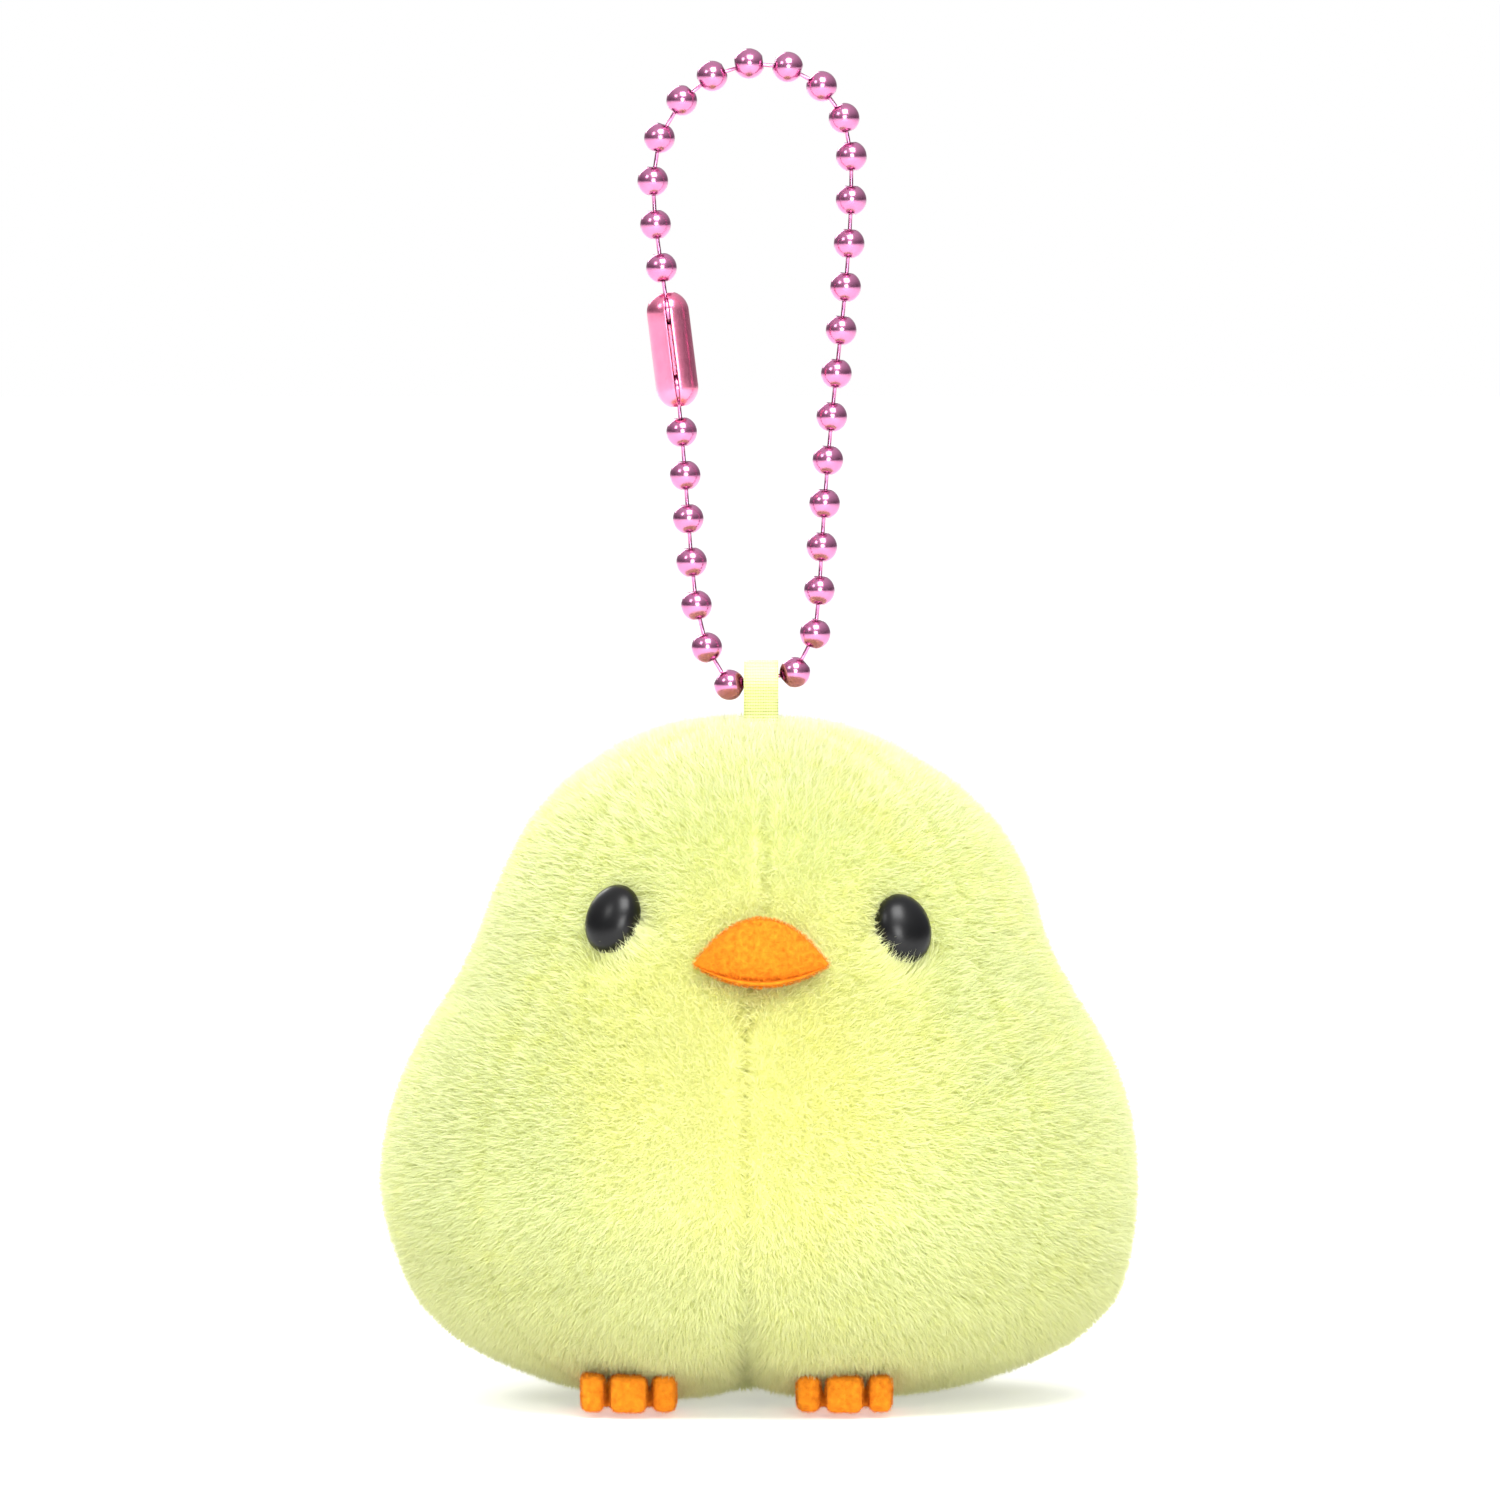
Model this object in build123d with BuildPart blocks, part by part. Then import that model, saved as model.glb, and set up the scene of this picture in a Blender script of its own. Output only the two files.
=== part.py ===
from build123d import *
from math import cos, radians, sin, sqrt
import os

# A round plush chick that hangs on a small ball chain. Its pile cover is sewn from four
# panels over a stuffing, with two plastic eyes, a felt beak and two felt feet. A ribbon
# is sewn in where the seams meet on top of the head, and the chain runs through its loop.
# +Z is up, the face looks along -Y, and the origin is under the middle of the seat.
# All lengths are in millimetres and all angles in degrees.

# Plush body, over the tips of the pile
body_width = 59.2
body_height = 53.4
seat_radius = 9.0
crown_radius = 2.4
end_sweep = 1.0
cover_thickness = 2.6
stuffing_gap = 0.1
side_seam_angle = 47.0

# Outline of the body from its seat to its crown, as shares of half the width and of the
# height: a full belly, a slight waist and a domed head.
belly_and_head = [
    (0.726, 0.056),
    (0.946, 0.172),
    (1.0, 0.318),
    (0.929, 0.493),
    (0.80, 0.610),
    (0.72, 0.727),
    (0.61, 0.843),
    (0.351, 0.961),
]

# Eyes: a plastic dome with a stem, held behind the cover by a washer
eye_width = 4.5
eye_height = 5.5
eye_proud = 1.3
eye_sink = 1.3
eye_edge_radius = 1.2
eye_tilt = 8.0
eye_reach = 11.25
left_eye_level = 38.3
right_eye_level = 37.6
stem_radius = 0.9
stem_length = 4.2
washer_radius = 2.9
washer_thickness = 0.8
washer_stand_off = 0.4
pocket_clearance = 0.1

# Beak: an upper and a lower felt piece that meet at the mouth
beak_width = 10.4
beak_tip_level = 34.8
beak_rise = 3.7
beak_drop = 1.8
mouth_drop = 0.8
beak_proud = 3.0
beak_swell_radius = 5.9
lower_beak_step = 0.5
beak_sink = 1.0

# Feet: a flat felt piece with three toes each
foot_centres = {"left": -10.2, "right": 6.4}
foot_thickness = 3.0
foot_front = 20.9
foot_length = 11.0
middle_toe_width = 3.0
outer_toe_width = 2.0
toe_gap = 0.2
toe_length = 5.0
toe_step = 0.7
toe_roundness = 0.45
pad_roundness = 0.4
foot_edge_radius = 0.6

# Ribbon: folded round the chain's first bead, with its ends sewn into the head
ribbon_width = 2.9
ribbon_thickness = 0.35
loop_stem = 0.9
loop_lift = 0.45
loop_clearance = 0.15
loop_pinch_radius = 0.035
ribbon_end_length = 9.0
ribbon_end_lift = 0.05

# Ball chain: hollow beads joined by short wires with a head on each end. The links next to
# the ribbon are slack, and those over the top of the arch are pushed part of the way in.
bead_diameter = 2.4
bead_wall = 0.2
mouth_radius = 0.42
wire_radius = 0.25
wire_length = 2.2
head_radius = 0.52
head_thickness = 0.2
head_play = 0.16
slack_gap = 0.2
arch_push = 0.36
arch_links = range(14, 20)
last_bead = 33
upper_end_bead = 25
lower_end_bead = 26

# Connector: a rolled barrel that holds the chain's two end beads
connector_length = 9.2
connector_clearance = 0.2
connector_wall = 0.25
connector_play = 0.1
connector_mouth_radius = 0.65
connector_slit = 0.7

# The hanging loop of chain, as its maker lays it: places on its route, in bead pitches
# sideways and upwards from the bead in the ribbon, once round by the right-hand side
chain_places = [
    (0.0, 0.0),
    (0.75, 0.17),
    (1.30, 2.05),
    (1.60, 6.17),
    (1.99, 10.17),
    (2.03, 11.22),
    (1.74, 13.04),
    (0.29, 14.02),
    (-1.39, 13.59),
    (-2.42, 12.07),
    (-2.49, 11.13),
    (-2.28, 9.27),
    (-1.82, 5.45),
    (-1.59, 2.44),
    (-1.22, 0.60),
    (-0.72, -0.13),
]
route_samples = 2400
smallest_route = 0.7
largest_route = 1.4
route_halvings = 40
loop_offset = 0.1

# Sizes that follow from the ones above
bead_radius = bead_diameter / 2
bead_inner_radius = bead_radius - bead_wall
head_reach = sqrt(bead_inner_radius**2 - head_radius**2) - head_thickness / 2 - head_play
bead_pitch = wire_length + 2 * head_reach
slack_pitch = bead_diameter + slack_gap
connector_diameter = bead_diameter + 2 * (connector_wall + connector_clearance)
connector_span = connector_length - 2 * (connector_wall + bead_radius + connector_play)
eye_radius = loop_clearance + bead_radius
loop_centre_level = body_height + loop_stem + ribbon_thickness + eye_radius
loop_hinge_level = body_height + loop_lift
foot_width = middle_toe_width + 2 * (outer_toe_width + toe_gap)

os.makedirs("parts", exist_ok=True)


def finish(piece, name):
    """Name a finished piece and write it as its own file."""
    piece.part.label = name
    export_step(piece.part, f"parts/{name}.step")


def plush_form(inset):
    """The body's closed form, drawn in all over by an inset."""
    half_width = body_width / 2 - inset
    height = body_height - 2 * inset
    outline = [(half_width * wide, inset + height * high) for wide, high in belly_and_head]
    seat_edge = (seat_radius - inset, inset)
    crown_edge = (crown_radius, inset + height)
    with BuildPart() as form:
        with BuildSketch(Plane.XZ):
            with BuildLine():
                Polyline(crown_edge, (0, inset + height), (0, inset), seat_edge)
                Spline(
                    seat_edge,
                    *outline,
                    crown_edge,
                    tangents=[(1, 0), (-1, 0)],
                    tangent_scalars=(end_sweep, end_sweep),
                )
            make_face()
        revolve(axis=Axis.Z)
    return form.part


def gore(start, end):
    """A tall slice round the vertical axis, from one angle to another."""
    reach = 2 * body_width
    corners = [(reach * cos(radians(turn)), reach * sin(radians(turn))) for turn in (start, end)]
    middle = radians((start + end) / 2)
    with BuildPart() as slice_of_body:
        with BuildSketch():
            with BuildLine():
                Polyline((0, 0), corners[0], (reach * cos(middle), reach * sin(middle)), corners[1], close=True)
            make_face()
        extrude(amount=2 * body_height, both=True)
    return slice_of_body.part


def face_plane(across, level):
    """The plane that lies on the front of the body at one place, with its normal outwards."""
    line_of_sight = Axis((across, -body_width, level), (0, 1, 0))
    point, normal = outer_form.shell().find_intersection_points(line_of_sight)[0]
    return Plane(origin=point, x_dir=Vector(0, 0, 1).cross(normal), z_dir=normal)


def inwards(plane, depth):
    """The same plane, a depth behind the tips of the pile and facing into the body."""
    return Plane(origin=plane.origin - plane.z_dir * depth, x_dir=plane.x_dir, z_dir=-plane.z_dir)


outer_form = plush_form(0)
cover_lining = plush_form(cover_thickness)
stuffing_form = plush_form(cover_thickness + stuffing_gap)

# Eyes and washers
eye_levels = {"left": left_eye_level, "right": right_eye_level}
eye_sides = {"left": -1, "right": 1}
eye_pockets = {}
washer_pockets = {}
for side, level in eye_levels.items():
    on_face = face_plane(eye_sides[side] * eye_reach, level)
    back = inwards(on_face, eye_sink)
    behind_cover = inwards(on_face, cover_thickness + washer_stand_off)
    lean = eye_sides[side] * eye_tilt

    with BuildPart() as eye:
        with BuildSketch(back):
            Ellipse(eye_width / 2, eye_height / 2, rotation=-lean)
        extrude(amount=-(eye_sink + eye_proud))
        front_centre = on_face.origin + on_face.z_dir * eye_proud
        fillet(eye.edges().sort_by_distance(front_centre)[0], eye_edge_radius)
        with BuildSketch(back):
            Circle(stem_radius)
        extrude(amount=stem_length)
    finish(eye, f"eye_{side}")

    with BuildPart() as washer:
        with BuildSketch(behind_cover):
            Circle(washer_radius)
            Circle(stem_radius + pocket_clearance, mode=Mode.SUBTRACT)
        extrude(amount=washer_thickness)
    finish(washer, f"eye_washer_{side}")

    with BuildPart() as eye_pocket:
        with BuildSketch(back):
            Ellipse(eye_width / 2 + pocket_clearance, eye_height / 2 + pocket_clearance, rotation=-lean)
        extrude(amount=-2 * (eye_sink + eye_proud))
        with BuildSketch(back):
            Circle(stem_radius + pocket_clearance)
        extrude(amount=stem_length + pocket_clearance)
    eye_pockets[side] = eye_pocket.part

    with BuildPart() as washer_pocket:
        with BuildSketch(inwards(on_face, cover_thickness)):
            Circle(washer_radius + pocket_clearance)
        extrude(amount=washer_stand_off + washer_thickness + pocket_clearance)
    washer_pockets[side] = washer_pocket.part

# Beak
beak_face = face_plane(0, beak_tip_level).origin
beak_form = plush_form(beak_sink)
tips = [(-beak_width / 2, beak_tip_level), (beak_width / 2, beak_tip_level)]


def felt_layer(upper_level, lower_level, proud):
    """One felt piece between two arcs that meet at the beak's tips, swelling to the front."""
    with BuildPart() as layer:
        with BuildSketch(Plane.XZ):
            with BuildLine():
                ThreePointArc(tips[0], (0, upper_level), tips[1])
                ThreePointArc(tips[1], (0, lower_level), tips[0])
            make_face()
        extrude(amount=body_width)
        with Locations((0, beak_face.Y - proud + beak_swell_radius, beak_tip_level)):
            Sphere(beak_swell_radius, mode=Mode.INTERSECT)
        add(beak_form, mode=Mode.SUBTRACT)
    return layer


mouth_level = beak_tip_level - mouth_drop
beak_upper = felt_layer(beak_tip_level + beak_rise, mouth_level, beak_proud)
finish(beak_upper, "beak_upper")
beak_lower = felt_layer(mouth_level, beak_tip_level - beak_drop, beak_proud - lower_beak_step)
finish(beak_lower, "beak_lower")

# Feet
foot_pockets = []
for side, centre in foot_centres.items():
    toe_shift = (middle_toe_width + outer_toe_width) / 2 + toe_gap
    sole = Plane.XY
    with BuildPart() as foot:
        with BuildSketch(sole):
            with Locations((centre, -foot_front + foot_length / 2)):
                RectangleRounded(middle_toe_width, foot_length, toe_roundness * middle_toe_width)
            for shift in (-toe_shift, toe_shift):
                with Locations((centre + shift, -foot_front + toe_step + toe_length / 2)):
                    RectangleRounded(outer_toe_width, toe_length, toe_roundness * outer_toe_width)
            pad_length = foot_length - toe_length
            with Locations((centre, -foot_front + toe_length - toe_gap + pad_length / 2)):
                RectangleRounded(foot_width, pad_length, pad_roundness * pad_length)
        extrude(amount=foot_thickness)
        fillet(foot.edges().group_by(Axis.Z)[-1], foot_edge_radius)
    finish(foot, f"foot_{side}")

    with BuildPart() as foot_pocket:
        with BuildSketch(Plane.XY.offset(-pocket_clearance)):
            with Locations((centre, -foot_front + foot_length / 2)):
                Rectangle(foot_width + 2 * pocket_clearance, foot_length + 2 * pocket_clearance)
        extrude(amount=foot_thickness + 2 * pocket_clearance)
    foot_pockets.append(foot_pocket.part)

# Ribbon ends inside the head
with BuildPart() as ribbon_ends:
    with BuildSketch(Plane.XY.offset(body_height + ribbon_end_lift)):
        Rectangle(ribbon_width, 2 * ribbon_thickness)
    extrude(amount=-ribbon_end_length)
finish(ribbon_ends, "ribbon_ends")

with BuildPart() as ribbon_slot:
    with BuildSketch(Plane.XY.offset(2 * body_height)):
        Rectangle(ribbon_width + 2 * pocket_clearance, 2 * ribbon_thickness + 2 * pocket_clearance)
    extrude(amount=-(body_height + ribbon_end_length + pocket_clearance))

# Cover panels: angles are measured from +X, and the face is at -90
panels = {
    "cover_front_left": (-90 - side_seam_angle, -90),
    "cover_front_right": (-90, -90 + side_seam_angle),
    "cover_side_right": (-90 + side_seam_angle, 90),
    "cover_side_left": (90, 270 - side_seam_angle),
}
cut_outs = [*eye_pockets.values(), beak_upper.part, beak_lower.part, *foot_pockets, ribbon_slot.part]
for name, (start, end) in panels.items():
    with BuildPart() as panel:
        add(outer_form)
        add(cover_lining, mode=Mode.SUBTRACT)
        add(gore(start, end), mode=Mode.INTERSECT)
        for cut_out in cut_outs:
            add(cut_out, mode=Mode.SUBTRACT)
    finish(panel, name)

# Stuffing
with BuildPart() as stuffing:
    add(stuffing_form)
    for pocket in [*eye_pockets.values(), *washer_pockets.values(), *foot_pockets, ribbon_slot.part]:
        add(pocket, mode=Mode.SUBTRACT)
finish(stuffing, "stuffing")

# Ribbon loop that stands on the head round the chain's first bead
with BuildPart() as hang_loop:
    with BuildSketch(Plane.YZ):
        with Locations((0, loop_centre_level)):
            Circle(eye_radius + ribbon_thickness)
        with Locations((0, loop_hinge_level)):
            Circle(ribbon_thickness)
        make_hull()
    extrude(amount=ribbon_width / 2, both=True)
    with BuildSketch(Plane.YZ):
        with Locations((0, loop_centre_level)):
            Circle(eye_radius)
        with Locations((0, loop_hinge_level + 2 * ribbon_thickness)):
            Circle(loop_pinch_radius)
        make_hull()
    extrude(amount=ribbon_width, both=True, mode=Mode.SUBTRACT)
finish(hang_loop, "hang_loop")


# The chain's route: bead centres are kept as complex numbers, sideways + upwards * j
def walk(route, steps):
    """Bead centres along a closed route, each a straight step from the one before."""
    centres = [route[0]]
    place = 0
    for step in steps:
        while place < len(route) - 1 and abs(route[place] - centres[-1]) < step:
            place += 1
        near = abs(route[place - 1] - centres[-1])
        far = abs(route[place] - centres[-1])
        if far < step:
            centres.append(route[-1])
        else:
            share = (step - near) / (far - near)
            centres.append(route[place - 1] + share * (route[place] - route[place - 1]))
    return centres


def lay_chain():
    """The centre of every bead, with the route drawn in or let out until the chain closes."""
    with BuildLine() as loop_line:
        Spline([(bead_pitch * across, bead_pitch * up) for across, up in chain_places], periodic=True)
    shape = [loop_line.line @ (k / route_samples) for k in range(route_samples + 1)]
    steps = [slack_pitch]
    steps += [bead_pitch - arch_push * (link in arch_links) for link in range(2, upper_end_bead)]
    steps += [connector_span]
    steps += [bead_pitch] * (last_bead - lower_end_bead)
    small, large = smallest_route, largest_route
    for _ in range(route_halvings):
        size = (small + large) / 2
        centres = walk([size * complex(p.X, p.Y) for p in shape], steps)
        if abs(centres[-1] - centres[0]) > slack_pitch:
            large = size
        else:
            small = size
    start = complex(loop_offset, loop_centre_level)
    return [start + centre for centre in centres]


def in_space(place):
    """A place on the chain's own plane, as a point of the object."""
    return Vector(place.real, 0, place.imag)


chain_centres = lay_chain()


def parent_of(number):
    """The bead that a bead hangs on: both runs of the chain start at the bead in the ribbon."""
    if number == last_bead:
        return 1
    return number - 1 if number <= upper_end_bead else number + 1


def link_ends(number):
    """The two head centres of the wire that joins a bead to its parent, the parent's first."""
    parent = in_space(chain_centres[parent_of(number) - 1])
    child = in_space(chain_centres[number - 1])
    along = (child - parent).normalized()
    middle = (parent + child) * 0.5
    return middle - along * (wire_length / 2), middle + along * (wire_length / 2)


def mouth_directions(number):
    """The directions of a bead's two mouths, each towards the bead that it is joined to."""
    here = in_space(chain_centres[number - 1])
    before = in_space(chain_centres[(number - 2) % last_bead])
    after = in_space(chain_centres[number % last_bead])
    return (before - here).normalized(), (after - here).normalized()


for number in range(1, last_bead + 1):
    centre = in_space(chain_centres[number - 1])
    with BuildPart() as bead:
        with Locations(centre):
            Sphere(bead_radius)
            Sphere(bead_inner_radius, mode=Mode.SUBTRACT)
        for direction in mouth_directions(number):
            with BuildSketch(Plane(origin=centre, x_dir=(0, 1, 0), z_dir=direction)):
                Circle(mouth_radius)
            extrude(amount=bead_diameter, mode=Mode.SUBTRACT)
        if number > 1:
            start, end = link_ends(number)
            along = (end - start).normalized()
            with BuildSketch(Plane(origin=start, x_dir=(0, 1, 0), z_dir=along)):
                Circle(wire_radius)
            extrude(amount=wire_length)
            for head in (start, end):
                with BuildSketch(Plane(origin=head, x_dir=(0, 1, 0), z_dir=along)):
                    Circle(head_radius)
                extrude(amount=head_thickness / 2, both=True)
    finish(bead, f"bead_{number:02d}")

# Connector
upper_end = in_space(chain_centres[upper_end_bead - 1])
lower_end = in_space(chain_centres[lower_end_bead - 1])
connector_centre = (upper_end + lower_end) * 0.5
connector_axis = (upper_end - lower_end).normalized()
barrel_plane = Plane(origin=connector_centre, x_dir=Vector(0, 1, 0).cross(connector_axis), z_dir=(0, -1, 0))
with BuildPart() as connector:
    with BuildSketch(barrel_plane):
        SlotOverall(connector_length, connector_diameter, rotation=90)
        inner_diameter = connector_diameter - 2 * connector_wall
        SlotOverall(connector_length - 2 * connector_wall, inner_diameter, rotation=90, mode=Mode.SUBTRACT)
        Rectangle(
            connector_diameter,
            2 * connector_length,
            align=(Align.MIN, Align.CENTER),
            mode=Mode.INTERSECT,
        )
    revolve(axis=Axis(connector_centre, connector_axis))
    with BuildSketch(Plane(origin=connector_centre, x_dir=(0, 1, 0), z_dir=connector_axis)):
        Circle(connector_mouth_radius)
    extrude(amount=connector_length, both=True, mode=Mode.SUBTRACT)
    with BuildSketch(barrel_plane):
        Rectangle(connector_slit, 2 * connector_length)
    extrude(amount=connector_diameter, mode=Mode.SUBTRACT)
finish(connector, "connector")
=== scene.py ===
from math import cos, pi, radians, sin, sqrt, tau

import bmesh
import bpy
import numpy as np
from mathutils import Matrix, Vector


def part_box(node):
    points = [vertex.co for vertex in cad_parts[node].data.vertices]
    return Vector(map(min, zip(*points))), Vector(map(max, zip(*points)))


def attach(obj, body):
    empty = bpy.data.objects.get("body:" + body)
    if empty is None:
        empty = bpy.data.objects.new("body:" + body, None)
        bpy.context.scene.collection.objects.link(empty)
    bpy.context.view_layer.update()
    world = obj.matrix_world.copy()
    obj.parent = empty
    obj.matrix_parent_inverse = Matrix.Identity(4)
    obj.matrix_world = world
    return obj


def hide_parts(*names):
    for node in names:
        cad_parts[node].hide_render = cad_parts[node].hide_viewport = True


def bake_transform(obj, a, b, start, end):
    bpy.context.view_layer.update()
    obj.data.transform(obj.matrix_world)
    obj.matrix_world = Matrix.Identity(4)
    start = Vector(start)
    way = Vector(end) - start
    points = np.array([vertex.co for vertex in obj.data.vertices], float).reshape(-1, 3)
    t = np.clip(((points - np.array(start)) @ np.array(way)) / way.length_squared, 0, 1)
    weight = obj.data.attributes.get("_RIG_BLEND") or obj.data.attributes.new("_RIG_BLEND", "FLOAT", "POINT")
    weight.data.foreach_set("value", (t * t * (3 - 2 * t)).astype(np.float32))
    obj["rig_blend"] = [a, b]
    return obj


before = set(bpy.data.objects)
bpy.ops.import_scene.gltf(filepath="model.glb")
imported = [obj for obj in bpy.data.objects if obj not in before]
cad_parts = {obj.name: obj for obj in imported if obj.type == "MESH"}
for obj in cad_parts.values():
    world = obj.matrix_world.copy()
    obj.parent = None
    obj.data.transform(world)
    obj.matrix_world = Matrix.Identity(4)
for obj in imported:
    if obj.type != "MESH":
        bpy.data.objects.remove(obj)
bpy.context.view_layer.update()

# %% [markdown]
# # A plush chick on a ball chain
#
# The object is a round toy chick of short-pile plush that hangs on a small ball chain.
# The frame that was just loaded holds its solid parts. This lesson dresses them: a puffed
# fabric cover with a real pile of fibres, glass-black eyes, felt beak and feet, a woven
# ribbon and pink anodised beads. Everything is in metres and stays in the frame's place.

mm = 0.001
scene = bpy.context.scene

# %% [markdown]
# ## Notes on colour
#
# Colours are chosen on a screen, so they are written as screen colours. A shader
# mixes light and not screen values, so each one is turned into linear light first.


# %% A screen colour as linear light
def tint(code):
    """A linear RGBA colour from a screen colour such as #ffcc00."""
    parts = [int(code[start : start + 2], 16) / 255 for start in (1, 3, 5)]
    linear = [p / 12.92 if p <= 0.04045 else ((p + 0.055) / 1.055) ** 2.4 for p in parts]
    return (*linear, 1.0)


print("lemon", [round(c, 3) for c in tint("#f6ff9c")])

# %% [markdown]
# ## Writing node trees as sums
#
# A material, and a tree that plants fibres, are both graphs of nodes. Placing each node
# by hand hides the idea behind it, so one small class wraps a socket and lets the usual
# signs of arithmetic add the Math nodes. Any other node comes from a single method.


# %% A socket that can be added to and multiplied
class Value:
    """One output of a node, on which sums are written as plain expressions."""

    def __init__(self, graph, socket):
        self.graph = graph
        self.socket = socket

    def maths(self, operation, *values):
        sockets = dict(enumerate(values))
        return self.graph.node("ShaderNodeMath", {"operation": operation}, sockets)

    def __add__(self, other):
        return self.maths("ADD", self, other)

    def __sub__(self, other):
        return self.maths("SUBTRACT", self, other)

    def __rsub__(self, other):
        return self.maths("SUBTRACT", other, self)

    def __mul__(self, other):
        return self.maths("MULTIPLY", self, other)

    def __truediv__(self, other):
        return self.maths("DIVIDE", self, other)

    def __abs__(self):
        return self.maths("ABSOLUTE", self)

    def wave(self):
        """A wave from 0 to 1 and back, once for each turn of the value."""
        return self.maths("SINE", self) * 0.5 + 0.5

    def held(self):
        """The same value, kept from 0 to 1."""
        return self.maths("MINIMUM", self.maths("MAXIMUM", self, 0.0), 1.0)

    __radd__ = __add__
    __rmul__ = __mul__


# %% One method that makes any node
class Graph:
    """A node tree under construction."""

    def __init__(self, tree):
        self.tree = tree
        tree.nodes.clear()

    def node(self, kind, settings=None, sockets=None, out=0):
        """Make a node, set it up, fill or link its sockets and hand back one output."""
        made = self.tree.nodes.new(kind)
        for key, setting in (settings or {}).items():
            if key == "stops":
                for place, colour in setting[2:]:
                    made.color_ramp.elements.new(place)
                for element, (place, colour) in zip(made.color_ramp.elements, setting):
                    element.position = place
                    element.color = colour
            else:
                setattr(made, key, setting)
        for key, value in (sockets or {}).items():
            if isinstance(value, Value):
                self.tree.links.new(value.socket, made.inputs[key])
            else:
                made.inputs[key].default_value = value
        return Value(self, made.outputs[out] if len(made.outputs) else None)

    def attribute(self, name, out="Fac"):
        return self.node("ShaderNodeAttribute", {"attribute_name": name}, out=out)

    def place(self):
        """The point on the piece, in metres."""
        return self.node("ShaderNodeTexCoord", out="Object")

    def axes(self, vector):
        """The three numbers of a vector."""
        split = self.node("ShaderNodeSeparateXYZ", None, {"Vector": vector}).socket.node
        return [Value(self, socket) for socket in split.outputs]

    def grain(self, size, detail=3.0, vector=None):
        """Soft noise whose blobs are about one size across, in metres."""
        sockets = {"Vector": vector or self.place(), "Scale": 1 / size, "Detail": detail}
        return self.node("ShaderNodeTexNoise", None, sockets)

    def blend(self, factor, first, second):
        """A colour that goes from the first to the second as the factor rises."""
        sockets = {0: factor, 6: first, 7: second}
        return self.node("ShaderNodeMix", {"data_type": "RGBA"}, sockets, out=2)

    def bump(self, height, distance, strength=1.0):
        sockets = {"Height": height, "Distance": distance, "Strength": strength}
        return self.node("ShaderNodeBump", None, sockets)

    def shader(self, **sockets):
        """The last node of a finish. Its keywords are socket names with _ for a space."""
        named = {key.replace("_", " "): value for key, value in sockets.items()}
        surface = self.node("ShaderNodeBsdfPrincipled", None, named)
        self.node("ShaderNodeOutputMaterial", None, {"Surface": surface})


def finish_named(name):
    """A new material and the graph that its nodes go on."""
    material = bpy.data.materials.new(name)
    material.use_nodes = True
    return material, Graph(material.node_tree)


# %% [markdown]
# ## From a bmesh to a piece
#
# Every piece is shaped in a bmesh, given its finish and handed to the body that it rides
# on. One helper makes the piece with its finish, and another hands it to its body.


# %% Pieces of the object
def thing(name, bm, *finishes, smooth=True):
    """An object made from a bmesh, which is used up."""
    mesh = bpy.data.meshes.new(name)
    bm.to_mesh(mesh)
    bm.free()
    mesh.polygons.foreach_set("use_smooth", [smooth] * len(mesh.polygons))
    for finish in finishes:
        mesh.materials.append(finish)
    made = bpy.data.objects.new(name, mesh)
    scene.collection.objects.link(made)
    return made


def worked_mesh(obj):
    """The mesh of an object with its modifiers worked in."""
    bpy.context.view_layer.update()
    graph = bpy.context.evaluated_depsgraph_get()
    shown = obj.evaluated_get(graph)
    return bpy.data.meshes.new_from_object(shown, preserve_all_data_layers=True, depsgraph=graph)


def settle(obj):
    """Work an object's modifiers into its mesh and take them off."""
    mesh = worked_mesh(obj)
    obj.modifiers.clear()
    obj.data = mesh
    return obj


def belongs(obj, body, slot, *nodes):
    """Give a piece its body and hide the solid parts that it stands for. The slot is not used."""
    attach(obj, body)
    if nodes:
        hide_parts(*nodes)
    print(obj.name, len(obj.data.polygons), "faces on", body)
    return obj


def smooth_step(low, high, value):
    share = np.clip((value - low) / (high - low), 0, 1)
    return share * share * (3 - 2 * share)


def valley(distance, half_width):
    """One in the middle of a soft valley, fading to nothing on both sides of it."""
    return np.exp(-((distance / half_width) ** 2))


def points_of(mesh):
    """The mesh's points as an array."""
    points = np.empty(len(mesh.vertices) * 3)
    mesh.vertices.foreach_get("co", points)
    return points.reshape(-1, 3)


def put_points(mesh, points):
    mesh.vertices.foreach_set("co", points.ravel())
    mesh.update()


def normals_of(mesh):
    normals = np.empty(len(mesh.vertices) * 3)
    mesh.vertices.foreach_get("normal", normals)
    return normals.reshape(-1, 3)


# %% A profile turned on a lathe
def lathe(bm, profile, steps, angle=tau, merge=True):
    """Turn a profile of (radius, height) round the upright axis of a bmesh."""
    ring = [bm.verts.new((wide, 0, up)) for wide, up in profile]
    line = [bm.edges.new(pair) for pair in zip(ring, ring[1:])]
    middle, axis = (0, 0, 0), (0, 0, 1)
    swept = {"cent": middle, "axis": axis, "angle": angle, "steps": steps, "use_merge": merge}
    bmesh.ops.spin(bm, geom=ring + line, dvec=(0, 0, 0), **swept)


# %% [markdown]
# ## The camera and the light
#
# The chick is seen from straight in front and very slightly from above. A long lens keeps
# its shape nearly free of perspective. The light is a soft box above and in front of the
# toy, three weaker ones round it, a room that is darker to the sides, and a pale floor that
# throws light back up under the belly.

# %% Camera
view_middle = Vector((-0.86 * mm, 0, 50.5 * mm))
view_width = 116.85 * mm
view_lens = 400.0
view_tilt = radians(2.7)

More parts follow.
